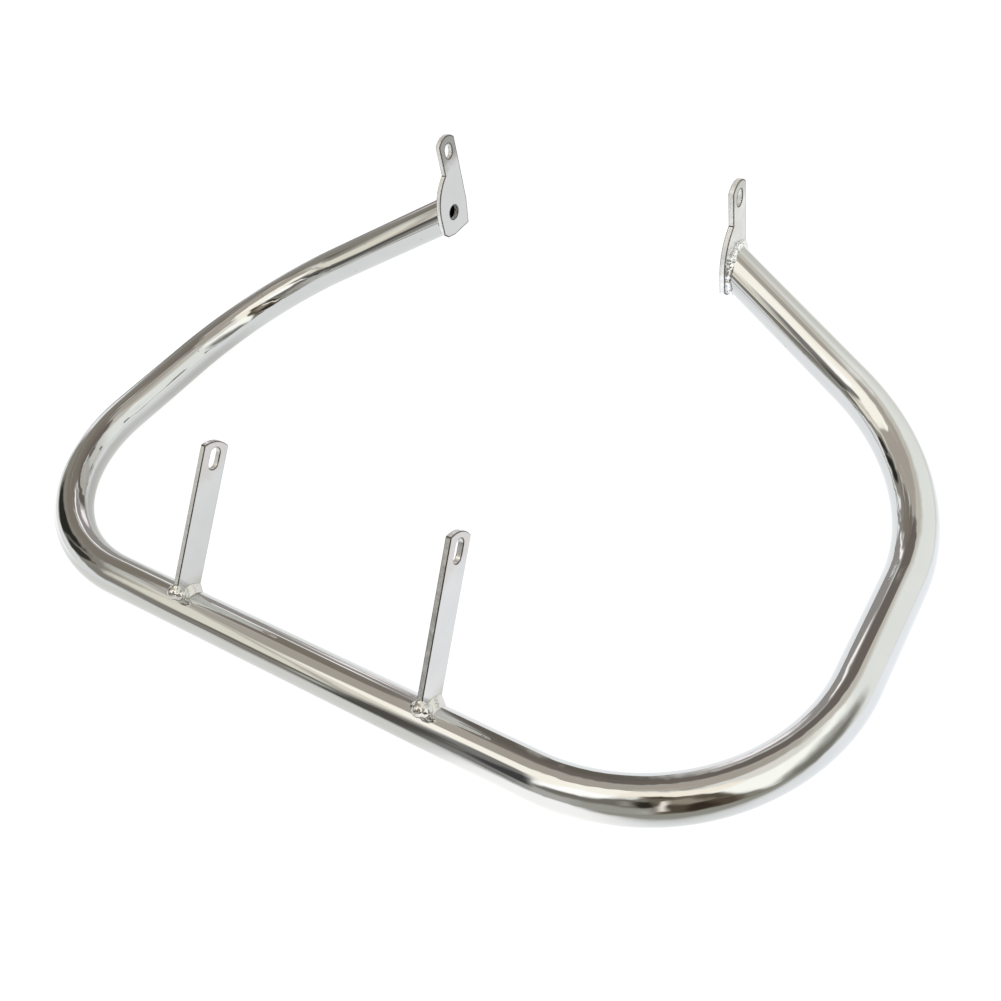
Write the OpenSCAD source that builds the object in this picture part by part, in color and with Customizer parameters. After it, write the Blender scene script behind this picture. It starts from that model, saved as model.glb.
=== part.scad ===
// Motorcycle crash bars: one bent round tube with two end plates and two slotted straps welded to it.
// Millimetres. The part lies on its lower loop: X runs across, Y runs from the lower straight to the
// end plates, Z is up. The origin is on the floor, under the middle of the part.

/* [Tube] */
// Outer diameter of the tube
tube_d = 32; // [24:1:40]
// Wall thickness of the tube
tube_wall = 2; // [1.5:0.5:4]
// Centre-line width of the loop that lies on the floor
loop_w = 689; // [560:1:820]
// From the lower straight to the corner where each arm turns in, centre lines
side_reach = 341; // [320:1:420]
// Centre-line radius of the two lower corner bends
corner_bend_r = 150; // [100:1:180]
// Centre-line radius of the two arm bends
arm_bend_r = 153; // [100:1:180]
// How far each arm turns in from the side straight, degrees
arm_turn = 68.4; // [60:0.2:76]
// How far each arm bend is tipped up from the floor, degrees
arm_lift = 23.2; // [14:0.2:32]

/* [End plates] */
// Clear distance between the two end plates
plate_gap = 272.6; // [200:0.2:320]
// Thickness of an end plate
plate_t = 4.5; // [3:0.5:8]
// How far a plate's front edge stands out past the tube's radius
front_lip = 6; // [4:0.5:10]
// How far a plate's back edge stands out past the tube's radius
back_lip = 3.3; // [3:0.1:8]
// How far a plate's lower edge stands out past the tube's radius
foot_lip = 2.3; // [2:0.1:8]
// How far the back edge of a plate leans in at its foot
plate_taper = 3.5; // [0:0.5:4]
// Size of the cut across the lower front corner of a plate
plate_corner_cut = 5; // [2:0.5:7]
// Diameter of the round hole in a plate
plate_hole_d = 12.5; // [8:0.5:16]
// How far the round hole sits ahead of the tube's centre
plate_hole_ahead = 2.5; // [0:0.5:5]
// How far the round hole sits above the tube's centre
plate_hole_up = 2.5; // [0:0.5:5]
// From the tube's centre up to the middle of the plate's round shoulder
shoulder_up = 5; // [3:0.5:8]
// Width of the tab that stands up from a plate
tab_w = 23; // [18:0.5:30]
// From the tube's centre to the top of the tab
tab_top = 72; // [60:1:90]
// Radius of the tab's rounded top
tab_tip_r = 15; // [15:0.5:24]
// Width of the slot in the tab
tab_slot_w = 10; // [6:0.5:12]
// Length of the slot in the tab
tab_slot_len = 13; // [12:0.5:20]
// From the top of the tab to the middle of its slot
tab_slot_down = 14; // [12:0.5:20]

/* [Straps] */
// Distance between the middles of the two straps' feet
strap_spacing = 228.6; // [140:0.2:300]
// Width of a strap
strap_w = 23; // [18:0.5:30]
// Thickness of a strap
strap_t = 4.5; // [3:0.5:8]
// From the tube's centre line to the tip of a strap
strap_len = 134; // [90:1:170]
// How far a strap leans back from upright, degrees
strap_lean = 39.4; // [20:0.2:50]
// How far the straps lean in towards each other, degrees
strap_toe = 2.4; // [0:0.2:6]
// How far a strap's front edge stands out past the tube
strap_overhang = 2; // [0:0.5:5]
// How far down from the tube's crown a strap's foot reaches
strap_wrap = 4; // [3:0.5:11]
// Radius of a strap's rounded tip
strap_tip_r = 20; // [15:0.5:24]
// Width of the slot in a strap
strap_slot_w = 9; // [6:0.5:12]
// Length of the slot in a strap
strap_slot_len = 17; // [13:0.5:24]
// From the tip of a strap to the middle of its slot
strap_slot_down = 13.3; // [13:0.1:20]

/* [Welds] */
// Leg of the weld bead around a tube end
end_bead = 4; // [2:0.5:6]
// Leg of the weld bead along a strap's faces and round its front edge
strap_bead = 5; // [2:0.5:6]
// Leg of the weld bead at a strap's back edge
strap_back_bead = 2; // [1:0.5:6]
// Radius of the round lump of weld at a strap's front corner
strap_lump_r = 6.5; // [6:0.5:8]
// How far above the foot's corner the middle of the lump sits
strap_lump_up = 3; // [0:0.5:4]

/* [Hidden] */

// Smoothness of the round faces
$fn = 96;
// How far a cutting shape runs past the face that it cuts
over = 1;
// How far each straight runs into the bend beside it, so that the lengths of tube join as one
lap = 0.5;
// How much slimmer the straights' wall is drawn on each face, so that it starts inside the bend's wall
hair = 0.05;
// Slices that give a weld bead its round profile
bead_steps = 4;

tube_r = tube_d / 2;
bore_r = tube_r - tube_wall;
// Radius of the straights as they are drawn, on which the straps and the beads sit
seat_r = tube_r - hair;

// The arm runs from the virtual corner, where the centre lines cross, to the plate's outer face
corner_x = loop_w / 2;
plate_in_x = plate_gap / 2;
plate_out_x = plate_in_x + plate_t;
arm_tangent = arm_bend_r * tan(arm_turn / 2);
arm_reach = (corner_x - plate_out_x) / (sin(arm_turn) * cos(arm_lift));
arm_len = arm_reach - arm_tangent;
side_len = side_reach - arm_tangent - corner_bend_r;
straight_len = 2 * (corner_x - corner_bend_r);
seat_y = side_reach + arm_reach * cos(arm_turn);
seat_z = arm_reach * sin(arm_turn) * sin(arm_lift);

// The tube end is cut on the slant, so the raw tube runs past the plate before it is trimmed
trim_run = 2 * tube_r;
// Width of the blocks that take in the whole of a tube's end
end_room = 4 * trim_run;

// A plate's edges, measured from the tube's centre
plate_front = tube_r + front_lip;
plate_back = tube_r + back_lip;
plate_drop = tube_r + foot_lip;
shoulder_r = plate_front + plate_back;

// The part is centred over the origin and stands on the floor
part_front = -tube_r;
part_back = seat_y + plate_back;
shift_y = -(part_front + part_back) / 2;
shift_z = tube_r;

tab_mid_y = plate_back - tab_w / 2;

// A strap's middle stands ahead of the tube's middle, and its foot is cut square above it
strap_ahead = tube_r + strap_overhang - strap_w / 2;
strap_foot = tube_r - strap_wrap;

steel = "silver";
weld_steel = "gainsboro";

// Everything below is drawn with the lower straight's centre line on the X axis and then lifted here
module on_floor() {
  translate([0, shift_y, shift_z])
    children();
}

// side is 1 for the right-hand piece and -1 for its mirror image on the left
module on_side(side) {
  if (side > 0)
    children();
  else
    mirror([1, 0, 0])
      children();
}

// A cylinder of radius r along +X from x0 to x1, on the lower straight's centre line
module along_x(r, x0, x1) {
  translate([x0, 0, 0])
    rotate([0, 90, 0])
      cylinder(r = r, h = x1 - x0);
}

// Section through the tube's wall, slimmer by trim on each face
module tube_section(trim) {
  difference() {
    circle(r = tube_r - trim);
    circle(r = bore_r + trim);
  }
}

// A straight length of tube along +Z, run on into the bends beside it
module tube_straight(len) {
  translate([0, 0, -lap])
    linear_extrude(len + 2 * lap)
      tube_section(hair);
}

// A bend of the tube in the XY plane about the origin, from the X axis round by turn degrees
module tube_bend(bend_r, turn) {
  rotate_extrude(angle = turn)
    translate([bend_r, 0])
      tube_section(0);
}

// Puts its children in the plane of the right arm bend, with the bend's centre at their origin
module at_arm_bend() {
  translate([corner_x, side_reach - arm_tangent, 0])
    rotate([0, arm_lift, 0])
      translate([-arm_bend_r, 0, 0])
        children();
}

// Puts its children where the right arm's straight starts, with Z along the arm
module at_arm() {
  at_arm_bend()
    rotate([0, 0, arm_turn])
      translate([arm_bend_r, 0, 0])
        rotate([-90, 0, 0])
          children();
}

// Corner bend, side straight, arm bend and arm of the right half; the arm runs past the plate
module half_loop() {
  translate([corner_x - corner_bend_r, corner_bend_r, 0])
    rotate([0, 0, -90])
      tube_bend(corner_bend_r, 90);
  translate([corner_x, corner_bend_r, 0])
    rotate([-90, 0, 0])
      tube_straight(side_len);
  at_arm_bend()
    tube_bend(arm_bend_r, arm_turn);
  at_arm()
    tube_straight(arm_len + trim_run);
}

// A block from x0 to x1 that takes in the whole of the tube's ends between them
module end_block(x0, x1) {
  translate([x0, seat_y - end_room / 2, seat_z - end_room / 2])
    cube([x1 - x0, end_room, end_room]);
}

module hoop_tube() {
  color(steel)
    on_floor()
      difference() {
        union() {
          translate([-straight_len / 2, 0, 0])
            rotate([0, 90, 0])
              tube_straight(straight_len);
          for (side = [1, -1])
            on_side(side)
              half_loop();
        }
        end_block(-plate_out_x, plate_out_x);
      }
}

// A slot of width w and length len, as long along its second axis, through thickness t from 0
module slot_cutter(w, len, t) {
  straight = len - w;
  for (end = [-1, 1])
    translate([0, end * straight / 2, -over])
      cylinder(d = w, h = t + 2 * over);
  translate([-w / 2, -straight / 2, -over])
    cube([w, straight, t + 2 * over]);
}

// A flat bar of width w from height low to height high, with an arc of radius tip_r across its top
module round_topped(w, low, high, tip_r) {
  intersection() {
    translate([-w / 2, low])
      square([w, high - low]);
    union() {
      translate([0, high - tip_r])
        circle(r = tip_r);
      translate([-w / 2, low])
        square([w, high - tip_r - low]);
    }
  }
}

// Outline of an end plate, seen from its side, measured from the tube's centre
module plate_outline() {
  cut_y = -plate_front + plate_corner_cut;
  cut_z = -plate_drop + plate_corner_cut / 2;
  polygon([
    [-plate_front, cut_z + plate_corner_cut],
    [cut_y, cut_z],
    [cut_y + 2 * plate_corner_cut, -plate_drop],
    [plate_back - plate_taper, -plate_drop],
    [plate_back, shoulder_up],
    [-plate_front, shoulder_up]
  ]);
  intersection() {
    translate([plate_back, shoulder_up])
      circle(r = shoulder_r);
    translate([-plate_front, shoulder_up])
      square([shoulder_r, shoulder_r]);
  }
  translate([tab_mid_y, 0])
    round_topped(tab_w, shoulder_up, tab_top, tab_tip_r);
}

// Puts a shape drawn in an end plate's outline on the right plate's inner face, and thickens outwards
module at_right_plate() {
  translate([plate_in_x, seat_y, seat_z])
    rotate([90, 0, 90])
      children();
}

module end_plate(side) {
  color(steel)
    on_floor()
      on_side(side)
        at_right_plate()
          difference() {
            linear_extrude(plate_t)
              plate_outline();
            translate([-plate_hole_ahead, plate_hole_up, -over])
              cylinder(d = plate_hole_d, h = plate_t + 2 * over);
            translate([tab_mid_y, tab_top - tab_slot_down, 0])
              slot_cutter(tab_slot_w, tab_slot_len, plate_t);
          }
}

// Puts a shape drawn across the strap's width and along its length in the strap's middle plane
module at_right_strap() {
  translate([strap_spacing / 2, 0, 0])
    rotate([-strap_lean, 0, 0])
      rotate([0, -strap_toe, 0])
        translate([0, -strap_ahead, 0])
          rotate([90, 0, 90])
            children();
}

// The strap before it is shaped to the tube
module strap_bar() {
  translate([0, 0, -strap_t / 2])
    linear_extrude(strap_t)
      round_topped(strap_w, strap_foot, strap_len, strap_tip_r);
}

module strap(side) {
  color(steel)
    on_floor()
      on_side(side)
        difference() {
          at_right_strap()
            difference() {
              strap_bar();
              translate([0, strap_len - strap_slot_down, -strap_t / 2])
                slot_cutter(strap_slot_w, strap_slot_len, strap_t);
            }
          along_x(seat_r, 0, strap_spacing);
        }
}

// Leg of a bead's slice number i, out of a quarter-round profile
function bead_leg(leg, i) = leg * sqrt(1 - pow(i / bead_steps, 2));

// Bead around the tube where it meets the plate's outer face, kept within the plate's outline
module end_weld(side) {
  slice = end_bead / bead_steps;
  color(weld_steel)
    on_floor()
      on_side(side)
        difference() {
          intersection() {
            for (i = [0 : bead_steps - 1])
              intersection() {
                at_arm()
                  cylinder(r = tube_r + bead_leg(end_bead, i), h = arm_len + trim_run);
                end_block(plate_out_x, plate_out_x + slice * (i + 1));
              }
            at_right_plate()
              linear_extrude(plate_t + end_bead + over)
                plate_outline();
          }
          at_arm()
            cylinder(r = seat_r, h = arm_len + trim_run);
        }
}

// Bead on the tube around a strap's foot, with a round lump at the strap's front corner
module strap_weld(side) {
  slice = strap_bead / bead_steps;
  color(weld_steel)
    on_floor()
      on_side(side)
        difference() {
          union() {
            for (i = [0 : bead_steps - 1])
              intersection() {
                leg = bead_leg(strap_bead, i);
                back_leg = bead_leg(strap_back_bead, i);
                at_right_strap()
                  translate([-strap_w / 2 - leg, strap_foot - leg, -strap_t / 2 - leg])
                    cube([strap_w + leg + back_leg, 2 * tube_r, strap_t + 2 * leg]);
                along_x(tube_r + slice * (i + 1), 0, strap_spacing);
              }
            at_right_strap()
              translate([-strap_w / 2, strap_foot + strap_lump_up, 0])
                sphere(r = strap_lump_r);
          }
          along_x(seat_r, 0, strap_spacing);
          at_right_strap()
            strap_bar();
        }
}

module end_plate_left() { end_plate(-1); }
module end_plate_right() { end_plate(1); }
module strap_left() { strap(-1); }
module strap_right() { strap(1); }
module end_weld_left() { end_weld(-1); }
module end_weld_right() { end_weld(1); }
module strap_weld_left() { strap_weld(-1); }
module strap_weld_right() { strap_weld(1); }

hoop_tube();
end_plate_left();
end_plate_right();
strap_left();
strap_right();
end_weld_left();
end_weld_right();
strap_weld_left();
strap_weld_right();
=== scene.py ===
import math

import bmesh
import bpy
import numpy as np
from mathutils import Matrix, Vector


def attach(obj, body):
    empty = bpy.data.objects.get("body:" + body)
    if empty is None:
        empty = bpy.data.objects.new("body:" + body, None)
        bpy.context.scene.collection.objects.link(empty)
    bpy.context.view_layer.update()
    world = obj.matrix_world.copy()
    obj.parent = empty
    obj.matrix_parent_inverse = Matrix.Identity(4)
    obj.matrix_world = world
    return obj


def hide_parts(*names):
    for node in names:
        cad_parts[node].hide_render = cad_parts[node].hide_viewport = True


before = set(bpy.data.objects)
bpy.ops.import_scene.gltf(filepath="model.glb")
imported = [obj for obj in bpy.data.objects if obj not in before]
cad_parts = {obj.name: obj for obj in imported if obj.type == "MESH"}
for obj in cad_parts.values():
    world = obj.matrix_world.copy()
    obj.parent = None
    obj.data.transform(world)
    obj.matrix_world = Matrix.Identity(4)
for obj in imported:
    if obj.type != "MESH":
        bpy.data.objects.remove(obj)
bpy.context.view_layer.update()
MM = 0.001

# Driving sizes in millimetres, named as in the part's source
TUBE_D = 32.0
TUBE_WALL = 2.0
LOOP_W = 689.0
SIDE_REACH = 341.0
CORNER_BEND_R = 150.0
ARM_BEND_R = 153.0
ARM_TURN = math.radians(68.4)
ARM_LIFT = math.radians(23.2)

PLATE_GAP = 272.6
PLATE_T = 4.5
FRONT_LIP = 6.0
BACK_LIP = 3.3
FOOT_LIP = 2.3
PLATE_TAPER = 3.5
PLATE_CORNER_CUT = 5.0
PLATE_HOLE_D = 12.5
PLATE_HOLE_AHEAD = 2.5
PLATE_HOLE_UP = 2.5
SHOULDER_UP = 5.0
TAB_W = 23.0
TAB_TOP = 72.0
TAB_TIP_R = 15.0
TAB_SLOT_W = 10.0
TAB_SLOT_LEN = 13.0
TAB_SLOT_DOWN = 14.0

STRAP_SPACING = 228.6
STRAP_W = 23.0
STRAP_T = 4.5
STRAP_LEN = 134.0
STRAP_LEAN = math.radians(39.4)
STRAP_TOE = math.radians(2.4)
STRAP_OVERHANG = 2.0
STRAP_WRAP = 4.0
STRAP_TIP_R = 20.0
STRAP_SLOT_W = 9.0
STRAP_SLOT_LEN = 17.0
STRAP_SLOT_DOWN = 13.3

# What follows from them
TUBE_R = TUBE_D / 2
CORNER_X = LOOP_W / 2
PLATE_IN_X = PLATE_GAP / 2
PLATE_OUT_X = PLATE_IN_X + PLATE_T
PLATE_FRONT = TUBE_R + FRONT_LIP
PLATE_BACK = TUBE_R + BACK_LIP
PLATE_DROP = TUBE_R + FOOT_LIP
TAB_MID = PLATE_BACK - TAB_W / 2
STRAP_X = STRAP_SPACING / 2
STRAP_AHEAD = TUBE_R + STRAP_OVERHANG - STRAP_W / 2
STRAP_FOOT = TUBE_R - STRAP_WRAP
ARM_TANGENT = ARM_BEND_R * math.tan(ARM_TURN / 2)
ARM_REACH = (CORNER_X - PLATE_OUT_X) / (math.sin(ARM_TURN) * math.cos(ARM_LIFT))
SEAT_Y = SIDE_REACH + ARM_REACH * math.cos(ARM_TURN)
SEAT_Z = ARM_REACH * math.sin(ARM_TURN) * math.sin(ARM_LIFT)
SHIFT_Y = (TUBE_R - SEAT_Y - PLATE_BACK) / 2
# From the lower straight's centre line to the frame's origin
TO_ROW = Vector((0.0, SHIFT_Y, TUBE_R))

# Slots of a flat bar's materials
FACE, EDGE, RIM = 0, 1, 2


# The camera, as it was fitted to the photo

def set_camera():
    """Stands the camera where the photo was taken, with its axes given in the part's frame."""
    eye = Vector((440.27, -249.51, 581.02)) + TO_ROW
    right = Vector((0.83232603, 0.53102882, -0.1588766))
    down = Vector((0.28632246, -0.65733588, -0.69708607))
    ahead = Vector((-0.47460808, 0.53471294, -0.69916324))
    lens = bpy.data.cameras.new("product_camera")
    lens.sensor_fit = "HORIZONTAL"
    lens.sensor_width = 36.0
    lens.lens = 38.02
    lens.clip_start = 0.01
    lens.clip_end = 100.0
    camera = put_in_scene("product_camera", lens)
    turn = Matrix((right, -down, -ahead)).transposed()
    camera.matrix_world = Matrix.Translation(eye * MM) @ turn.to_4x4()
    bpy.context.scene.camera = camera


# Small helpers

def put_in_scene(name, data):
    """A new object in the scene, made of a mesh or a camera."""
    thing = bpy.data.objects.new(name, data)
    bpy.context.scene.collection.objects.link(thing)
    return thing


def sided(name, side):
    """The name of a node's right or left copy: side is 1 on the right and -1 on the left."""
    return name + ("_right" if side > 0 else "_left")


def from_hex(code):
    """An sRGB hex colour as linear red, green, blue and alpha."""
    parts = [int(code[i:i + 2], 16) / 255 for i in (1, 3, 5)]
    return tuple(c / 12.92 if c <= 0.04045 else ((c + 0.055) / 1.055) ** 2.4 for c in parts) + (1.0,)


def empty_tree(owner):
    """The node tree of a material or world, with nothing in it yet."""
    owner.use_nodes = True
    owner.node_tree.nodes.clear()
    return owner.node_tree


def add_node(tree, kind, settings=None, **links):
    """Adds a node, sets its properties, and fills or links its inputs.

    An input goes by its label, with _ for a space, or by its number after an i where labels repeat.
    """
    node = tree.nodes.new(kind)
    for name, value in (settings or {}).items():
        setattr(node, name, value)
    for name, value in links.items():
        numbered = name[0] == "i" and name[1:].isdigit()
        socket = node.inputs[int(name[1:]) if numbered else name.replace("_", " ")]
        if isinstance(value, bpy.types.NodeSocket):
            tree.links.new(value, socket)
        else:
            socket.default_value = value
    return node


def grid_faces(rows, columns, first=0, closed=True, inward=False):
    """Quads of a grid of points laid row by row; a closed grid joins its last column to its first."""
    faces = []
    for row in range(rows - 1):
        low, high = first + row * columns, first + (row + 1) * columns
        for k in range(columns if closed else columns - 1):
            n = (k + 1) % columns
            faces.append((low + k, high + k, high + n, low + n) if inward
                         else (low + k, low + n, high + n, high + k))
    return faces


# Finishes, some of their tones painted light and shade

def start_finish(name):
    """A new material, its empty tree, and the place of each point on the piece."""
    material = bpy.data.materials.new(name)
    tree = empty_tree(material)
    return material, tree, add_node(tree, "ShaderNodeTexCoord").outputs["Object"]


def chrome_film(tree, place, bright, dull, patch):
    """Chrome's tone: a bright plate under a thin film of grease that lies in patches, sized in mm."""
    film = add_node(tree, "ShaderNodeTexNoise", Vector=place, Scale=1 / (patch * MM), Detail=4.0,
                    Roughness=0.6)
    tone = add_node(tree, "ShaderNodeMix", {"data_type": "RGBA"}, i0=film.outputs["Fac"],
                    i6=from_hex(bright), i7=from_hex(dull))
    return film.outputs["Fac"], tone.outputs[2]


def film_gloss(tree, film, clean, greasy, thin=0.3):
    """Roughness that goes from clean plate, where the film is thin, to greasy plate."""
    return add_node(tree, "ShaderNodeMapRange", Value=film, From_Min=thin, From_Max=0.7, To_Min=clean,
                    To_Max=greasy).outputs["Result"]


def worn_relief(tree, vector, scale, depth, detail=2.0, under=None):
    """Shallow relief of a worked surface: scale is one over its size in m, and its depth is in mm."""
    noise = add_node(tree, "ShaderNodeTexNoise", Vector=vector, Scale=scale, Detail=detail, Roughness=0.5)
    relief = add_node(tree, "ShaderNodeBump", Height=noise.outputs["Fac"], Strength=1.0,
                      Distance=depth * MM)
    if under is not None:
        tree.links.new(under, relief.inputs["Normal"])
    return relief.outputs["Normal"]


def flecks(tree, place, size, rarity):
    """Mask of small scattered specks, their size in mm: 1 on a speck, 0 between."""
    apart, clusters = 7 * size, 45
    grid = add_node(tree, "ShaderNodeTexVoronoi", Vector=place, Scale=1 / (apart * MM), Randomness=1.0)
    rare = add_node(tree, "ShaderNodeTexNoise", Vector=place, Scale=1 / (clusters * MM), Detail=1.0)
    spot = add_node(tree, "ShaderNodeMapRange", Value=grid.outputs["Distance"], From_Min=0.05,
                    From_Max=0.09, To_Min=1.0, To_Max=0.0)
    where = add_node(tree, "ShaderNodeMapRange", Value=rare.outputs["Fac"], From_Min=rarity,
                     From_Max=rarity + 0.04, To_Min=0.0, To_Max=1.0)
    return add_node(tree, "ShaderNodeMath", {"operation": "MULTIPLY"}, i0=spot.outputs["Result"],
                    i1=where.outputs["Result"]).outputs[0]


def plate_over(tree, tone, roughness, relief):
    """Closes a finish: metal plating of this tone and roughness over this relief."""
    shader = add_node(tree, "ShaderNodeBsdfPrincipled", Base_Color=tone, Metallic=1.0,
                      Roughness=roughness, Normal=relief)
    add_node(tree, "ShaderNodeOutputMaterial", Surface=shader.outputs["BSDF"])


def tube_chrome():
    """Bright chrome plating over drawn mild steel tube, mandrel bent and buffed.

    It mirrors the room in long clean bands. Drawing lines run along the tube and fray the edges of
    the bands, the bends keep shallow waves from the die, and pinholes in the plate show as dark specks.
    """
    material, tree, place = start_finish("bright_chrome_on_drawn_tube")
    skin_place = add_node(tree, "ShaderNodeAttribute", {"attribute_name": "skin_place"}).outputs["Vector"]
    bent = add_node(tree, "ShaderNodeAttribute", {"attribute_name": "bent"}).outputs["Fac"]
    film, tone = chrome_film(tree, place, "#d3d3d3", "#cacac7", 45)
    line_len, line_gap, line_depth = 160, 1.3, 0.018
    lines_at = add_node(tree, "ShaderNodeVectorMath", {"operation": "MULTIPLY"}, i0=skin_place,
                        i1=(1 / (line_len * MM), 1 / (line_gap * MM), 1 / (line_gap * MM))).outputs[0]
    lines = worn_relief(tree, lines_at, 1.0, line_depth)
    wave_len, wave_w, wave_depth = 26, 13, 0.34
    waves_at = add_node(tree, "ShaderNodeVectorMath", {"operation": "MULTIPLY"}, i0=skin_place,
                        i1=(1 / (wave_len * MM), 1 / (wave_w * MM), 1 / (wave_w * MM))).outputs[0]
    noise = add_node(tree, "ShaderNodeTexNoise", Vector=waves_at, Scale=1.0, Detail=2.0, Roughness=0.5)
    # The straights keep an eighth of the bends' waves
    amount = add_node(tree, "ShaderNodeMapRange", Value=bent, To_Min=0.12, To_Max=1.0)
    waves = add_node(tree, "ShaderNodeBump", Height=noise.outputs["Fac"],
                     Strength=amount.outputs["Result"], Distance=wave_depth * MM, Normal=lines)
    specks = flecks(tree, place, 0.9, 0.6)
    spotted = add_node(tree, "ShaderNodeMix", {"data_type": "RGBA"}, i0=specks, i6=tone,
                       i7=from_hex("#3a3630"))
    gloss = film_gloss(tree, film, 0.025, 0.055, thin=0.35)
    plate_over(tree, spotted.outputs[2], gloss, waves.outputs["Normal"])
    return material


def bar_chrome(name, bright, painted_light_zones):
    """Bright chrome over flat bar, linished before plating, so that its mirror is a little soft.

    Each zone is a height in mm where the tone starts to change, the height where it has changed, and
    the new colour, which paints light and shade: a darker painted reflection at a plate's tip, painted
    shade at a strap's foot next to the tube, and a warm painted reflection near a strap's top.
    """
    material, tree, place = start_finish(name)
    film, tone = chrome_film(tree, place, bright, "#c9c8c5", 18)
    height = add_node(tree, "ShaderNodeSeparateXYZ", Vector=place).outputs["Z"]
    # A zone's edge strays 7 mm to each side, in patches of 9 mm
    stray, stray_patch = 7, 9
    noise = add_node(tree, "ShaderNodeTexNoise", Vector=place, Scale=1 / (stray_patch * MM), Detail=2.0)
    sway = add_node(tree, "ShaderNodeMapRange", Value=noise.outputs["Fac"], To_Min=-stray * MM,
                    To_Max=stray * MM)
    level = add_node(tree, "ShaderNodeMath", {"operation": "ADD"}, i0=height,
                     i1=sway.outputs["Result"]).outputs[0]
    # Each zone paints light or shade into the tone: reflections at the tips, shade at a strap's foot
    for start, end, code in painted_light_zones:
        change = add_node(tree, "ShaderNodeMapRange", {"interpolation_type": "SMOOTHSTEP"}, Value=level,
                          From_Min=start * MM, From_Max=end * MM)
        tone = add_node(tree, "ShaderNodeMix", {"data_type": "RGBA"}, i0=change.outputs["Result"], i6=tone,
                        i7=from_hex(code)).outputs[2]
    # Linishing waves, 30 mm long, under a 1 mm grain
    waves = worn_relief(tree, place, 1 / (30 * MM), 0.5)
    grain = worn_relief(tree, place, 1 / (1.0 * MM), 0.006, 3.0, waves)
    plate_over(tree, tone, film_gloss(tree, film, 0.09, 0.17), grain)
    return material


def edge_chrome(name, bright, dull, roughness):
    """Chrome over a sheared or buffed edge, of this mean roughness, in the tones given: bright ones are a
    painted highlight on the edges, dark ones a painted dark outline on the rims.

    What the tool tore stays under the plate and spreads its mirror.
    """
    material, tree, place = start_finish(name)
    film, tone = chrome_film(tree, place, bright, dull, 5)
    torn = worn_relief(tree, place, 1 / (2.0 * MM), 0.05)
    plate_over(tree, tone, film_gloss(tree, film, roughness * 0.7, roughness * 1.3), torn)
    return material


def bead_chrome(name, bright, dull, pits, ripple, depth):
    """Chrome over a hand-laid weld bead: ripples stay under the plate, and its pits are darker.

    Pits says how dark the pits are, and ripple and depth are the ripples' length and depth in mm.
    """
    material, tree, place = start_finish(name)
    film, tone = chrome_film(tree, place, bright, dull, 6)
    pits_apart = 2.6
    holes = add_node(tree, "ShaderNodeTexVoronoi", Vector=place, Scale=1 / (pits_apart * MM), Randomness=1.0)
    pit = add_node(tree, "ShaderNodeMapRange", Value=holes.outputs["Distance"], From_Min=0.12,
                   From_Max=0.3, To_Min=pits, To_Max=0.0)
    marked = add_node(tree, "ShaderNodeMix", {"data_type": "RGBA"}, i0=pit.outputs["Result"], i6=tone,
                      i7=from_hex("#2e2a26"))
    plate_over(tree, marked.outputs[2], 0.16, worn_relief(tree, place, 1 / (ripple * MM), depth))
    return material


# The tube

def right_centre_line(step):
    """Centre line of the right half, from the middle to the plate: points, directions, 1 where bent."""
    points, ahead, bent = [], [], []

    def marks(length):
        return np.linspace(0, 1, max(2, round(length / step)), endpoint=False)[:, None]

    def lay(new_points, directions, is_bent):
        points.append(new_points)
        ahead.append(np.broadcast_to(directions, new_points.shape))
        bent.append(np.full(len(new_points), float(is_bent)))

    def straight(start, along, length):
        lay(start + marks(length) * length * along, along, False)
        return start + length * along

    def bend(start, along, inward, radius, turn):
        a = marks(radius * turn) * turn
        lay(start + radius * np.sin(a) * along + radius * (1 - np.cos(a)) * inward,
            np.cos(a) * along + np.sin(a) * inward, True)
        return start + radius * math.sin(turn) * along + radius * (1 - math.cos(turn)) * inward

    right, back = np.array([1.0, 0, 0]), np.array([0, 1.0, 0])
    inward = np.array([-math.cos(ARM_LIFT), 0, math.sin(ARM_LIFT)])
    along_arm = math.sin(ARM_TURN) * inward + math.cos(ARM_TURN) * back
    end = straight(np.zeros(3), right, CORNER_X - CORNER_BEND_R)
    end = bend(end, right, back, CORNER_BEND_R, math.pi / 2)
    end = straight(end, back, SIDE_REACH - ARM_TANGENT - CORNER_BEND_R)
    end = bend(end, back, inward, ARM_BEND_R, ARM_TURN)
    end = straight(end, along_arm, ARM_REACH - ARM_TANGENT)
    lay(end[None], along_arm, False)
    return np.concatenate(points), np.concatenate(ahead), np.concatenate(bent)


def centre_line(step):
    """The whole centre line, from the left plate to the right plate, its bends fading in and out."""
    p, t, b = right_centre_line(step)
    left_p, left_t = p * np.array([-1, 1, 1]), t * np.array([1, -1, -1])
    fade = 15
    bent = np.convolve(np.concatenate([b[:0:-1], b]), np.ones(fade) / fade, "same")
    return np.concatenate([left_p[:0:-1], p]), np.concatenate([left_t[:0:-1], t]), bent


def skin(points, ahead, radius, around):
    """Rings of points round the centre line, trimmed at the plates' outer faces."""
    across = np.cross(ahead, np.array([0, 0, 1.0]))
    across /= np.linalg.norm(across, axis=1)[:, None]
    over = np.cross(across, ahead)
    turn = np.linspace(0, 2 * math.pi, around, endpoint=False)[None, :, None]
    rings = points[:, None] + radius * (np.cos(turn) * across[:, None] + np.sin(turn) * over[:, None])
    # A point past a plate's outer face slides back along the tube to it, as the last ring does
    for side in (-1, 1):
        short_of = side * rings[..., 0] - PLATE_OUT_X
        near = (side * points[:, 0] > 0) & (points[:, 1] > SIDE_REACH)
        last = near & np.isclose(side * points[:, 0], PLATE_OUT_X)
        trimmed = last[:, None] | (near[:, None] & (short_of < 0))
        slide = np.zeros_like(short_of)
        np.divide(short_of, side * ahead[:, None, 0], out=slide, where=trimmed)
        rings = rings - slide[..., None] * ahead[:, None]
    return rings


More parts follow.
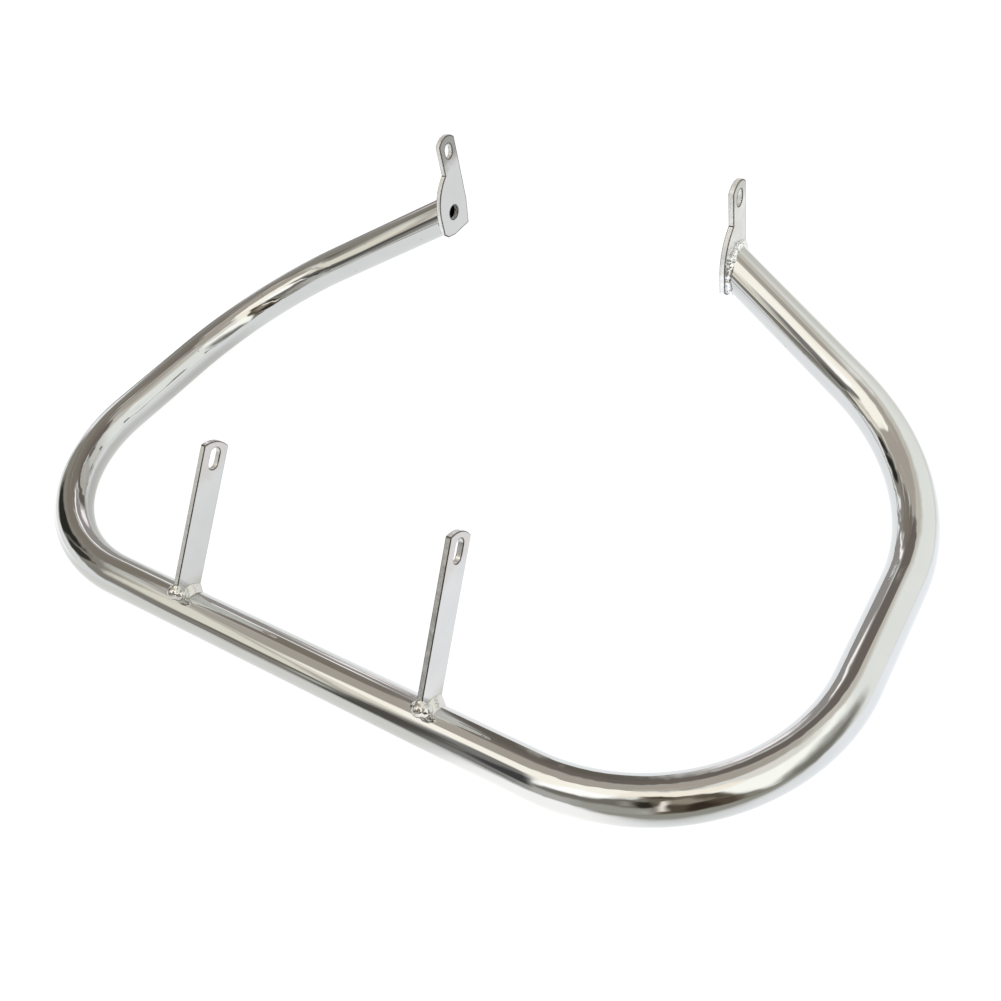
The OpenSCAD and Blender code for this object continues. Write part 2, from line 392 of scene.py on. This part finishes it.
def bent_tube(material):
    """The hollow tube, with its points' places along and round it stored for the finish."""
    points, ahead, bent = centre_line(2.5)
    lengths = np.concatenate([[0], np.cumsum(np.linalg.norm(np.diff(points, axis=0), axis=1))])
    verts, faces, places, bends = [], [], [], []
    for radius, around, inward in ((TUBE_R, 96, False), (TUBE_R - TUBE_WALL, 40, True)):
        faces += grid_faces(len(points), around, sum(map(len, verts)), inward=inward)
        verts.append(skin(points, ahead, radius, around).reshape(-1, 3))
        turn = np.tile(np.linspace(0, 2 * math.pi, around, endpoint=False), len(points))
        run = np.repeat(lengths, around)
        places.append(np.stack([run, TUBE_R * np.cos(turn), TUBE_R * np.sin(turn)], 1))
        bends.append(np.repeat(bent, around))
    mesh = bpy.data.meshes.new("bent_tube")
    mesh.from_pydata(((np.concatenate(verts) + np.array(TO_ROW)) * MM).tolist(), [], faces)
    mesh.validate()
    mesh.materials.append(material)
    mesh.shade_smooth()
    on_skin = mesh.attributes.new("skin_place", "FLOAT_VECTOR", "POINT")
    on_skin.data.foreach_set("vector", (np.concatenate(places) * MM).astype(np.float32).ravel())
    is_bent = mesh.attributes.new("bent", "FLOAT", "POINT")
    is_bent.data.foreach_set("value", np.concatenate(bends).astype(np.float32))
    tube = put_in_scene("bent_tube", mesh)
    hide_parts("hoop_tube")
    return tube


# Plates and straps

def arc(cx, cy, r, start, stop, count):
    """Points along an arc, both its ends included."""
    return [(cx + r * math.cos(a), cy + r * math.sin(a)) for a in np.linspace(start, stop, count)]


def round_top(cx, top, r, width, count):
    """The rounded top of a bar of this width, from its right edge to its left."""
    swing = math.asin(width / 2 / r)
    return arc(cx, top - r, r, math.pi / 2 - swing, math.pi / 2 + swing, count)


def oblong(cx, cy, width, length):
    """A slot's outline, longer along its second axis."""
    half = (length - width) / 2
    return (arc(cx, cy + half, width / 2, 0, math.pi, 12)
            + arc(cx, cy - half, width / 2, math.pi, 2 * math.pi, 12))


def flat_bar(name, outline, holes, thickness, place, edge, rim, materials):
    """A plate with holes, drawn in its own plane and put in place by a matrix.

    Its edges are eased, and a flat rim is set off round each face, both in mm. The materials are
    those of face, edge and rim: the edge's tone is a painted highlight, and the rim's, which the eased
    edges take too, a painted dark outline.
    """
    bm = bmesh.new()
    for loop in [outline] + holes:
        ring = [bm.verts.new((x, y, 0)) for x, y in loop]
        for i, v in enumerate(ring):
            bm.edges.new((v, ring[(i + 1) % len(ring)]))
    bmesh.ops.triangle_fill(bm, use_beauty=True, use_dissolve=False, edges=bm.edges[:])
    bmesh.ops.dissolve_limit(bm, angle_limit=math.radians(1), verts=bm.verts[:], edges=bm.edges[:])
    grown = bmesh.ops.extrude_face_region(bm, geom=bm.faces[:])["geom"]
    lifted = [part for part in grown if isinstance(part, bmesh.types.BMVert)]
    bmesh.ops.translate(bm, vec=(0, 0, thickness), verts=lifted)
    bmesh.ops.recalc_face_normals(bm, faces=bm.faces[:])
    for face in bm.faces:
        face.material_index = FACE if abs(face.normal.z) > 0.7 else EDGE
    # A rim round each face is set off only for its tone, a painted dark outline; it stays flat
    if rim > 0:
        for up in (-1, 1):
            flat = [face for face in bm.faces if face.normal.z * up > 0.7]
            worn = bmesh.ops.inset_region(bm, faces=flat, thickness=rim, use_boundary=True,
                                          use_even_offset=True)["faces"]
            for face in worn:
                face.material_index = RIM
    bm.transform(Matrix.Scale(MM, 4) @ Matrix.Translation(TO_ROW) @ place)
    if place.determinant() < 0:
        bmesh.ops.reverse_faces(bm, faces=bm.faces[:])
    mesh = bpy.data.meshes.new(name)
    bm.to_mesh(mesh)
    bm.free()
    for material in materials:
        mesh.materials.append(material)
    mesh.shade_smooth()
    bar = put_in_scene(name, mesh)
    ease = bar.modifiers.new("eased_edges", "BEVEL")
    ease.width = edge * MM
    ease.segments = 3
    ease.limit_method = "ANGLE"
    ease.angle_limit = math.radians(50)
    ease.harden_normals = True
    # The eased edges take the rim's tone too, a painted dark outline
    ease.material = RIM
    return bar


def plate_outline():
    """The end plate from its side, in mm about the tube's centre: first axis to the back, second up."""
    cut_y = -PLATE_FRONT + PLATE_CORNER_CUT
    cut_z = -PLATE_DROP + PLATE_CORNER_CUT / 2
    points = [(-PLATE_FRONT, cut_z + PLATE_CORNER_CUT), (cut_y, cut_z),
              (cut_y + 2 * PLATE_CORNER_CUT, -PLATE_DROP), (PLATE_BACK - PLATE_TAPER, -PLATE_DROP),
              (PLATE_BACK, SHOULDER_UP)]
    points += round_top(TAB_MID, TAB_TOP, TAB_TIP_R, TAB_W, 17)
    # The round shoulder swings about the plate's back edge, up to the tab
    shoulder_r = PLATE_FRONT + PLATE_BACK
    reach = math.acos(TAB_W / shoulder_r)
    points += arc(PLATE_BACK, SHOULDER_UP, shoulder_r, math.pi - reach, math.pi, 17)
    return points


def end_plate(side, materials):
    """An end plate on its side of the part: 1 is right, -1 is left."""
    place = Matrix(((0, 0, side, side * PLATE_IN_X), (1, 0, 0, SEAT_Y), (0, 1, 0, SEAT_Z), (0, 0, 0, 1)))
    hole = arc(-PLATE_HOLE_AHEAD, PLATE_HOLE_UP, PLATE_HOLE_D / 2, 0, 2 * math.pi, 41)[:-1]
    slot = oblong(TAB_MID, TAB_TOP - TAB_SLOT_DOWN, TAB_SLOT_W, TAB_SLOT_LEN)
    name = sided("end_plate", side)
    # Width of the eased edges and of each face's rim, both painted as dark outlines, in mm
    eased, rim = 0.6, 1.2
    plate = flat_bar("polished_" + name, plate_outline(), [hole, slot], PLATE_T, place, eased, rim,
                     materials)
    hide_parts(name)
    return plate


def strap_place(side):
    """The strap's own plane: first axis across it to the back, second along it, third its thickness."""
    lean = Matrix.Rotation(-STRAP_LEAN, 4, "X") @ Matrix.Rotation(-STRAP_TOE, 4, "Y")
    axes = Matrix(((0, 0, 1, 0), (1, 0, 0, -STRAP_AHEAD), (0, 1, 0, 0), (0, 0, 0, 1)))
    flip = Matrix.Diagonal((side, 1, 1, 1))
    return flip @ Matrix.Translation((STRAP_X, 0, 0)) @ lean @ axes


def strap(side, materials):
    """A slotted strap, its foot cut to the tube and let in a little, so that no gap shows."""
    half, let_in = STRAP_W / 2, 0.8
    seat_r = TUBE_R - let_in
    start = math.atan2(STRAP_FOOT, -math.sqrt(seat_r ** 2 - STRAP_FOOT ** 2))
    stop = math.atan2(math.sqrt(seat_r ** 2 - (half - STRAP_AHEAD) ** 2), half - STRAP_AHEAD)
    foot = arc(STRAP_AHEAD, 0, seat_r, start, stop, 15)
    outline = [(-half, STRAP_FOOT)] + foot + round_top(0, STRAP_LEN, STRAP_TIP_R, STRAP_W, 21)
    slot = oblong(0, STRAP_LEN - STRAP_SLOT_DOWN, STRAP_SLOT_W, STRAP_SLOT_LEN)
    place = strap_place(side) @ Matrix.Translation((0, 0, -STRAP_T / 2))
    name = sided("strap", side)
    # Width of the eased edges, painted as a dark outline, in mm; no rim is set off
    eased, rim = 1.35, 0
    bar = flat_bar("polished_" + name, outline, [slot], STRAP_T, place, eased, rim, materials)
    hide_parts(name)
    return bar


# Welds

def weld_from_drops(node, drops, flow, material):
    """A weld bead run together from drops of metal, centre and radius of each in mm; flow smooths it."""
    voxel = 0.5
    bm = bmesh.new()
    for centre, radius in drops:
        bmesh.ops.create_icosphere(bm, subdivisions=2, radius=radius * MM,
                                   matrix=Matrix.Translation((Vector(centre) + TO_ROW) * MM))
    mesh = bpy.data.meshes.new("run_" + node)
    bm.to_mesh(mesh)
    bm.free()
    bead = put_in_scene("run_" + node, mesh)
    run = bead.modifiers.new("run_together", "REMESH")
    run.mode = "VOXEL"
    run.voxel_size = voxel * MM
    soft = bead.modifiers.new("cooled", "SMOOTH")
    soft.factor = 0.6
    soft.iterations = flow
    solid = bpy.data.meshes.new_from_object(bead.evaluated_get(bpy.context.evaluated_depsgraph_get()))
    bead.modifiers.clear()
    bead.data = solid
    solid.name = "run_" + node
    solid.materials.clear()
    solid.materials.append(material)
    solid.shade_smooth()
    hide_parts(node)
    return bead


def end_weld(side, material, rng):
    """Uneven drops laid round the tube where it meets the plate's outer face, one about every 5 degrees."""
    along = np.array([-math.sin(ARM_TURN) * math.cos(ARM_LIFT), math.cos(ARM_TURN),
                      math.sin(ARM_TURN) * math.sin(ARM_LIFT)])
    seat = np.array([PLATE_OUT_X, SEAT_Y, SEAT_Z])
    # How far a drop may pass the plate's front, back and lower edge
    past_front, past_back, past_foot = 1.2, 0.8, 0.8
    drop_r = 2.6
    drops = []
    for turn in np.arange(0, 2 * math.pi, 0.09):
        out = np.array([0, math.cos(turn), math.sin(turn)])
        # Point of the slanted tube's edge in this direction from the seat
        across = out - along * (out @ along)
        edge = seat + out * TUBE_R / np.linalg.norm(across)
        r = drop_r + rng.uniform(-0.9, 0.7)
        x, y, z = edge + out * rng.uniform(-0.6, 1.5) + np.array([rng.uniform(0.0, 1.8), 0, 0])
        y = min(max(y, SEAT_Y - PLATE_FRONT + r - past_front), SEAT_Y + PLATE_BACK - r + past_back)
        z = max(z, SEAT_Z - PLATE_DROP + r - past_foot)
        drops.append((Vector((side * x, y, z)), r))
    return weld_from_drops(sided("end_weld", side), drops, 4, material)


def strap_weld(side, material, rng):
    """A smooth fillet up both faces of a strap's foot, and a lump round its front corner."""
    place = strap_place(side)
    front, back = -STRAP_W / 2, STRAP_W / 2
    drop_r = 2.2
    # The fillet starts behind the lump, sits a little way in the tube and in the strap, and climbs
    # higher at the middle of the strap
    behind_lump, in_tube, in_strap = 7.4, 1.2, 0.7
    spread, climb, arch = 3.2, 5.0, 0.8
    drops = []
    for face in (-1, 1):
        for across in np.arange(front + behind_lump, back - 0.5, 0.8):
            crown = math.sqrt(TUBE_R ** 2 - (across - STRAP_AHEAD) ** 2)
            tall = climb + arch * math.sin((across - front) / STRAP_W * math.pi) + rng.uniform(-0.15, 0.15)
            for step in (0.0, 0.33, 0.66, 1.0):
                out = STRAP_T / 2 + spread - (spread + in_strap) * step
                drops.append((place @ Vector((across, crown - in_tube + tall * step, face * out)), drop_r))
    # Each lump's place across, along and through the strap, and its radius
    lumps = [
        # round the front corner, and a run up the front edge
        ((front + 0.6, 15.6, 0.6), 5.6), ((front + 1.2, 20.0, 0.0), 3.2),
        # over the front ends of the outer and the inner fillet
        ((front + 3.4, 15.2, 3.6), 5.2), ((front + 3.2, 15.0, -3.2), 4.6),
        # round the back edge
        ((back - 0.6, 16.5, 0.0), 2.2)]
    drops += [(place @ Vector(centre), radius) for centre, radius in lumps]
    return weld_from_drops(sided("strap_weld", side), drops, 14, material)


# What the metal mirrors

def inside_by(x, y, corners):
    """How far inside a polygon each point lies, in the polygon's units, and less than 0 outside."""
    pts = np.array(corners, float)
    nearest = np.full(x.shape, 1e9)
    inside = np.zeros(x.shape, bool)
    for (x0, y0), (x1, y1) in zip(pts, np.roll(pts, -1, axis=0)):
        dx, dy = x1 - x0, y1 - y0
        t = np.clip(((x - x0) * dx + (y - y0) * dy) / (dx * dx + dy * dy), 0, 1)
        nearest = np.minimum(nearest, np.hypot(x - x0 - t * dx, y - y0 - t * dy))
        crosses = (y0 > y) != (y1 > y)
        with np.errstate(divide="ignore", invalid="ignore"):
            inside ^= crosses & (x < x0 + (y - y0) * dx / dy)
    return np.where(inside, nearest, -nearest)


# A full white patch sends the metal 1.6 times as much light as the white background
LAMP_WHITE = 1.6
WALL_TONE = "#dcdedb"
PAPER_TONE = "#d2d4d5"

# Cards, lamps and dark places of the studio: their corners as azimuth (0 is +Y, 90 is +X) and
# elevation in degrees, the softness of their edge in degrees, and their colour
WALL_PATCHES = [
    # plain wall behind the part, greyer to the left
    ([(-6, -5), (-6, 48), (14, 48), (24, 30), (24, -5)], 14, "#bdbdb7"),
    # ceiling
    ([(-129, 44), (-129, 76), (-118, 92), (60, 92), (112, 80), (76, 71), (62, 69), (48, 66), (20, 62),
      (-60, 60), (-95, 42)], 4, "#a19b93"),
    ([(-10, 49), (6, 46), (30, 49), (46, 56), (52, 67), (20, 65), (-10, 62)], 7, "#b9b5ac"),
    ([(-30, 84), (60, 84), (90, 96), (-30, 96)], 5, "#b4aea3"),
    # lamp cloth on the right
    ([(50, 58), (60, 67), (75, 71), (112, 77), (125, 92), (200, 92), (200, 56), (150, 58),
      (118, 48)], 4, "#d7d5cf"),
    ([(108, 52), (104, 62), (116, 80), (130, 88), (186, 86), (196, 70), (170, 60), (150, 66),
      (124, 50)], 5, "#f1eadd"),
    ([(45, 61), (52, 58), (75, 51), (105, 54), (122, 52), (122, 30), (114, 8), (111, -4), (106, 10),
      (102, 20), (92, 31), (78, 42), (62, 47), (50, 53)], 5, "#f8f9f3"),
    # lamp cloth on the left
    ([(-190, 36), (-168, 36), (-166, 46), (-158, 54), (-150, 50), (-146, 42), (-127, 45), (-127, 70),
      (-121, 76), (-112, 92), (-200, 92)], 4, "#f6f2e8"),
    ([(-196, 38), (-168, 28), (-165, 46), (-172, 62), (-196, 66)], 4, "#ffffff"),
    ([(-151, 44), (-127, 44), (-112, 42), (-112, 38), (-119, 32), (-128, 24), (-136, 19), (-148, 19),
      (-152, 30)], 4, "#d6d2c6"),
    # shadow on the wall that falls to the right
    ([(65, 36), (80, 40), (92, 30), (104, 17), (110, 6), (109, -14), (98, -14), (88, 0), (80, 8),
      (71, 16), (67, 26)], 7, "#a3a29d"),
    ([(72, 28), (92, 22), (104, 13), (107, 0), (106, -14), (98, -12), (88, 2), (78, 10),
      (72, 20)], 7, "#72726b"),
    # dark flag beside the camera
    ([(110, -14), (113, 4), (119, 18), (122, 34), (121, 46), (127, 54), (134, 59), (140, 66), (148, 66),
      (151, 56), (152, 34), (150, 20), (150, -14)], 3, "#665f54"),
    ([(109, -14), (113, 4), (119, 16), (123, 4), (124, -14)], 4, "#807f76"),
    ([(122, 27), (122, 46), (128, 49), (132, 42), (128, 27)], 3, "#544d42"),
    ([(120, 0), (121, 21), (131, 28), (143, 34), (146, 20), (143, 3), (130, -1)], 3, "#4e453b"),
    ([(128, 6), (130, 27), (136, 22), (138, 6), (133, 1)], 2.5, "#332b24"),
    ([(133, 57), (140, 64), (148, 63), (146, 56), (138, 53)], 2, "#4a4339"),
    ([(129, 30), (132, 46), (141, 46), (142, 36), (136, 28)], 4, "#8a8376"),
    ([(141, 47), (144, 46), (146.5, 30), (147, 10), (143.5, 10), (143.5, 26),
      (141, 37)], 1.5, "#e2dcd4"),
    # dark cards to the right of the flag
    ([(149, 14), (149, 53), (159, 56), (167, 49), (174, 42), (186, 40), (192, 30),
      (192, 20)], 4, "#6d6a64"),
    ([(146.5, 32), (148, 47), (152, 46), (154, 32), (152, 20), (149, 22)], 2, "#2c2822"),
    ([(154, 30), (156, 44), (159, 46), (158, 30)], 2, "#8b8981"),
    ([(148, -14), (149, 22), (164, 27), (192, 22), (192, -6), (172, -6), (160, -14)], 5, "#95958f"),
    # dark cards to the left of the lamp cloth
    ([(-170, 14), (-167, 34), (-164, 46), (-158, 54), (-151, 50), (-149, 30), (-153, 12),
      (-160, 8)], 4, "#757370"),
    ([(-170, 16), (-165, 40), (-161.5, 41), (-160, 24), (-163, 17)], 2, "#3e3d3f"),
    ([(-158, 22), (-158, 34), (-155, 34), (-154, 22)], 2, "#4f4c46"),
    ([(-186, -14), (-186, 22), (-171, 20), (-168, 10), (-171, -14)], 4, "#a5a4a0"),
    ([(-171, -14), (-168, 12), (-158, 16), (-152, 9), (-147, 5), (-151, -3),
      (-160, -14)], 4, "#777674"),
    ([(-158.5, 2), (-151.5, 4), (-150.5, 26), (-155, 29), (-160, 22)], 2.5, "#4d4b47"),
    ([(-156, 0), (-153, 7), (-148, 7), (-146, 3), (-151, -1)], 3, "#3c3c36"),
    ([(-152, -4), (-149, 20), (-136, 20), (-128, 25), (-119, 31), (-117, 14), (-128, 11), (-136, 5),
      (-139, -4)], 3, "#7b7972"),
    ([(-153, 15), (-149, 21), (-140, 20), (-139, 15), (-147, 16)], 2, "#5f5c55"),
    # dark cards behind the left end of the paper
    ([(-124, 27), (-120, 37), (-106, 40), (-88, 42), (-70, 40), (-58, 34), (-56, 24), (-62, 8),
      (-80, 10), (-88, 7), (-100, 7), (-108, 11), (-118, 15)], 4, "#827e77"),
    ([(-117.5, 17), (-116, 30), (-106.5, 32), (-105, 22), (-107.5, 12.5), (-113, 13)], 2, "#33302d"),
    ([(-106, 11), (-103.5, 26), (-101.5, 34), (-92, 34), (-87, 29), (-86, 20), (-91, 12),
      (-102, 9)], 2.5, "#282924"),
    # rounded dark card and its bright rim
    ([(-86, 45), (-76, 53), (-68, 58), (-60, 59), (-50, 55), (-42, 47), (-36, 40), (-42, 35), (-48, 28),
      (-54, 35), (-62, 39), (-72, 43)], 3, "#766f67"),
    ([(-52, 62), (-40, 62), (-28, 61), (-24, 50), (-30, 37), (-38, 38), (-43, 44),
      (-50, 52)], 3, "#706962"),
    ([(-84, 64.5), (-70, 63.5), (-60, 60), (-56, 57.5), (-56, 58.8), (-60, 61.5), (-70, 65),
      (-84, 66)], 1.2, "#b5afa7"),
    ([(-92, 46), (-86, 43), (-70, 42), (-56, 40), (-52, 36), (-57, 28), (-62, 26), (-74, 33),
      (-92, 38)], 2.5, "#78726a"),
    ([(-150, 23), (-141, 34), (-128, 40.5), (-115, 43.2), (-101, 42.8), (-101, 44.4), (-115, 45),
      (-129, 42.3), (-143, 36), (-152, 25)], 1.6, "#aba69e"),
    # grey card on the far left, with a narrow lamp across it
    ([(-61, 8), (-58, 22), (-53, 31), (-48, 27), (-41, 38), (-34, 38), (-29, 28), (-28, -14),
      (-45, -14), (-54, -8)], 4, "#8b8785"),
    ([(-61, 16), (-59.5, 19), (-50.5, 26.5), (-40, 36), (-37, 35), (-39, 32), (-48, 24),
      (-58, 16)], 1.6, "#fbf9f7"),
    ([(-40, 6), (-37, 18), (-32, 18), (-30, 8), (-32, -4)], 3, "#f0eaec"),
    ([(-81, 4), (-78, 21), (-73, 20), (-70, 8), (-68, -4)], 2, "#dedfe2"),
    ([(-72, 18), (-67, 25), (-60, 19), (-57, 6), (-61, -12), (-70, -9)], 3, "#84827f"),
    ([(-64, 4), (-62, 6), (-59, 2), (-55, -2), (-57, -12), (-64, -8)], 2, "#eef0f4"),
    # tall dark card, leaning over at its top
    ([(-29, -14), (-28, 10), (-29, 36), (-33, 46), (-30, 52), (-26, 61), (-18, 63), (-8, 63), (2, 61),
      (9, 56), (11, 51), (6, 48), (-4, 47), (-10, 46), (-20, 42), (-21, 36), (-19, 20),
      (-18, -14)], 2.5, "#67605b"),
    ([(-26, 14), (-26, 38), (-21.5, 38), (-19, 20), (-18.5, -4), (-24, -4)], 2, "#5e5a53"),
    ([(-20, 40), (-10, 45), (-9, 28), (-7, 6), (-18, 4), (-19, 20)], 2, "#a8a49d"),
    ([(-9, 6), (-10, 38), (0, 38), (4, 6)], 4, "#a6a6a1"),
    ([(-11, 46), (-4, 47), (4, 45), (5, 40), (-1, 37), (-9, 38)], 2, "#625d57"),
    ([(-10, 1), (-6, 6), (6, 6), (8, 1)], 2, "#9b9a96"),
    # the paper sweeping up at the left
    ([(-148, -14), (-141, -3), (-134, 5), (-118, 10), (-108, 4), (-100, -3), (-84, -1),
      (-80, -14)], 3, "#cfd1d5"),
]

# Tones of the floor as the metal sees it: corners as x and y in mm, softness in mm, and colour
PAPER_PATCHES = [
    # paper inside the loop
    ([(0, -200), (0, 260), (330, 260), (350, -150)], 60, "#dcdee1"),
    # paper to the right of the part
    ([(340, -150), (330, 180), (900, 240), (1000, -60), (640, -100)], 70, "#e2e5ea"),
    # paper behind the part
    ([(140, 300), (180, 1200), (1000, 1200), (760, 300)], 90, "#cdcdc9"),
    # paper before the lower straight, darker further out
    ([(-340, -210), (130, -210), (120, -800), (-340, -800)], 60, "#cacac8"),
    ([(-340, -440), (110, -430), (100, -900), (-340, -900)], 60, "#a9a8a4"),
    # paper in the loop's left corner, darkened under the left bend as painted shade of the tube
    ([(-350, -180), (-250, -180), (-250, -80), (-300, -60), (-305, 60), (-350, 90)], 40, "#adadaa"),
    # bright strip before the right end of the lower straight
    ([(135, -190), (262, -195), (262, -300), (236, -430), (225, -560), (110, -620),
      (120, -300)], 30, "#f1f1f1"),
    # bright paper to the left of the left bend
    ([(-470, -40), (-350, -60), (-330, -240), (-400, -300), (-560, -240), (-620, -40)], 50, "#ebebed"),
    # dark floor past the left end of the paper
    ([(-395, -70), (-375, 60), (-380, 200), (-300, 330), (-160, 420), (-60, 470), (0, 900),
      (-2600, 1400), (-2600, 0), (-560, -10)], 40, "#6a6861"),
    # darker floor on the camera's side, its edge brought in under the lower right bend as the bend's painted
    # shadow
    ([(250, -700), (262, -330), (290, -235), (400, -170), (520, -135), (640, -110), (2600, -90),
      (2600, -2600), (600, -2600)], 22, "#8b8b83"),
    ([(560, -900), (600, -260), (760, -160), (2600, -120), (2600, -2600), (900, -2600)], 60, "#77756a"),
    ([(-390, -580), (-320, -580), (-310, -1300), (-420, -1300)], 40, "#8f8f8b"),
]


def paint_over(tone, x, y, patches):
    """Lays soft-edged patches over a tone, each on top of those before it."""
    for corners, soft, code in patches:
        edge = np.clip(inside_by(x, y, corners) / soft * 0.5 + 0.5, 0, 1)[..., None]
        edge = edge * edge * (3 - 2 * edge)
        tone = tone + (np.array(from_hex(code)[:3]) - tone) * edge
    return tone


def across_seam(patches):
    """The patches, each laid again a full turn away where it reaches the dome's seam."""
    turn, near_seam = 360, 170
    for corners, soft, code in patches:
        azimuths = [azimuth for azimuth, elevation in corners]
        yield corners, soft, code
        if min(azimuths) < -near_seam:
            yield [(azimuth + turn, elevation) for azimuth, elevation in corners], soft, code
        if max(azimuths) > near_seam:
            yield [(azimuth - turn, elevation) for azimuth, elevation in corners], soft, code


def room_light(azimuth, elevation):
    """What the studio sends from each direction, in linear light."""
    tone = np.ones(azimuth.shape + (3,)) * np.array(from_hex(WALL_TONE)[:3])
    return paint_over(tone, azimuth, elevation, across_seam(WALL_PATCHES)) * LAMP_WHITE


def floor_light(x, y):
    """What the floor sends to the metal from each point in mm, in linear light."""
    tone = np.ones(x.shape + (3,)) * np.array(from_hex(PAPER_TONE)[:3])
    return paint_over(tone, x, y, PAPER_PATCHES) * LAMP_WHITE


def lit_sheet(name, points, faces, light, material):
    """A surface of the studio, its points in metres, that stores a light tone on every point."""
    mesh = bpy.data.meshes.new(name)
    mesh.from_pydata(points.reshape(-1, 3).tolist(), [], faces)
    tones = np.ones((len(mesh.vertices), 4), np.float32)
    tones[:, :3] = light.reshape(-1, 3)
    mesh.color_attributes.new("light", "FLOAT_COLOR", "POINT").data.foreach_set("color", tones.ravel())
    mesh.materials.append(material)
    return put_in_scene(name, mesh)


def painted_cards():
    """Lit cards: each point sends the light that is stored on it."""
    material = bpy.data.materials.new("painted_cards")
    tree = empty_tree(material)
    cards = add_node(tree, "ShaderNodeVertexColor", {"layer_name": "light"})
    glow = add_node(tree, "ShaderNodeEmission", Color=cards.outputs["Color"], Strength=1.0)
    add_node(tree, "ShaderNodeOutputMaterial", Surface=glow.outputs["Emission"])
    return material


def matt_white_paper():
    """White paper: the camera sees it lit up to white, and the metal sees the tones stored on it."""
    material = bpy.data.materials.new("matt_white_paper")
    tree = empty_tree(material)
    ray = add_node(tree, "ShaderNodeLightPath")
    paper = add_node(tree, "ShaderNodeBsdfDiffuse", Color=from_hex("#a8a8a8"))
    # Enough to bring the paper up to white where the part keeps no light from it
    glow = 0.83
    white = add_node(tree, "ShaderNodeEmission", Color=(1, 1, 1, 1), Strength=glow)
    sees = add_node(tree, "ShaderNodeAddShader", i0=paper.outputs[0], i1=white.outputs[0])
    seen = add_node(tree, "ShaderNodeMixShader", i0=ray.outputs["Is Camera Ray"], i1=paper.outputs[0],
                    i2=sees.outputs[0])
    tones = add_node(tree, "ShaderNodeVertexColor", {"layer_name": "light"})
    mirrored = add_node(tree, "ShaderNodeEmission", Color=tones.outputs["Color"], Strength=1.0)
    both = add_node(tree, "ShaderNodeMixShader", i0=ray.outputs["Is Glossy Ray"], i1=seen.outputs[0],
                    i2=mirrored.outputs[0])
    add_node(tree, "ShaderNodeOutputMaterial", Surface=both.outputs[0])
    return material


def studio_room():
    """A dome of painted cards round the part, seen only by the metal."""
    radius, rows, columns = 1.8, 190, 720
    elevation = np.radians(np.linspace(-4, 90, rows))
    azimuth = np.radians(np.linspace(-180, 180, columns, endpoint=False))
    e, a = np.meshgrid(elevation, azimuth, indexing="ij")
    points = np.stack([np.cos(e) * np.sin(a), np.cos(e) * np.cos(a), np.sin(e)], -1) * radius
    room = lit_sheet("studio_room", points, grid_faces(rows, columns),
                     room_light(np.degrees(a), np.degrees(e)), painted_cards())
    room.visible_camera = False
    room.visible_diffuse = False
    room.visible_shadow = False
    room.visible_transmission = False


def studio_floor():
    """The paper that the part lies on: a fine grid near the part, and a few wide cells far out."""
    near = np.arange(-1300, 1301, 20)
    far = np.array([1600, 2000, 2600, 30000])
    steps = np.concatenate([-far[::-1], near, far]).astype(float)
    x, y = np.meshgrid(steps, steps)
    points = np.stack([x, y, 0 * x], -1) * MM
    floor = lit_sheet("white_paper", points, grid_faces(len(steps), len(steps), closed=False),
                      floor_light(x, y), matt_white_paper())


def studio_light():
    """A white surround: full white to the camera and the metal, and dimmer light on the paper."""
    world = bpy.data.worlds.new("white_studio")
    bpy.context.scene.world = world
    tree = empty_tree(world)
    ray = add_node(tree, "ShaderNodeLightPath")
    seen = add_node(tree, "ShaderNodeMath", {"operation": "MAXIMUM"}, i0=ray.outputs["Is Camera Ray"],
                    i1=ray.outputs["Is Glossy Ray"])
    on_paper = 0.62
    level = add_node(tree, "ShaderNodeMapRange", Value=seen.outputs[0], To_Min=on_paper, To_Max=1.0)
    sky = add_node(tree, "ShaderNodeBackground", Color=(1, 1, 1, 1), Strength=level.outputs["Result"])
    add_node(tree, "ShaderNodeOutputWorld", Surface=sky.outputs[0])
    bpy.context.scene.view_settings.view_transform = "Standard"


# Putting it together

set_camera()
studio_floor()
studio_room()
studio_light()

# The plates' rims are painted dark as outlines, and their edges painted white as a highlight
painted_dark_rim = edge_chrome("painted_dark_outline_on_plate_rim", "#7a7772", "#5c5955", 0.25)
sheared = edge_chrome("painted_highlight_on_plate_edge", "#ffffff", "#f0f0ee", 0.6)
# The left plate's tab tip is painted darker: a painted reflection of dark surroundings
left_face_with_painted_tip = bar_chrome("chrome_on_left_plate_with_painted_dark_tip", "#d3d3d3", [(143, 160, "#9b9995")])
# The right plate is painted brighter and bluer than the left, a painted reflection, and its tip a little
# darker
right_face_painted_brighter = bar_chrome("chrome_on_right_plate_painted_brighter", "#f2f5fa", [(155, 167, "#c4c4c3")])
plate_finish_and_painted_light = {-1: [left_face_with_painted_tip, sheared, painted_dark_rim], 1: [right_face_painted_brighter, sheared, painted_dark_rim]}
# Straps: the foot is painted darker as shade by the tube, the top warmer as a painted reflection, the edges
# white as a painted highlight and the rims dark as a painted outline
strap_finish_and_painted_light = [bar_chrome("strap_chrome_with_painted_light", "#d3d3d3", [(44, 24, "#b3aea7"), (96, 112, "#c9c5c1")]),
                edge_chrome("painted_highlight_on_strap_edge", "#ffffff", "#e2e2e0", 0.35),
                edge_chrome("painted_dark_outline_on_strap_rim", "#75726d", "#55524e", 0.2)]
crusty_bead = bead_chrome("chrome_over_rough_weld", "#ffffff", "#dcdcda", 0.9, 2.2, 0.3)
smooth_bead = bead_chrome("chrome_over_smooth_weld", "#d8d6d1", "#c8c5bf", 0.15, 5.0, 0.1)

rng = np.random.default_rng(7)
made = [(bent_tube(tube_chrome()), "chrome")]
for side in (-1, 1):
    made.append((end_plate(side, plate_finish_and_painted_light[side]), "chrome"))
    made.append((strap(side, strap_finish_and_painted_light), "chrome"))
    made.append((end_weld(side, crusty_bead, rng), "weld"))
    made.append((strap_weld(side, smooth_bead, rng), "weld"))
for piece, finish in made:
    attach(piece, "root")
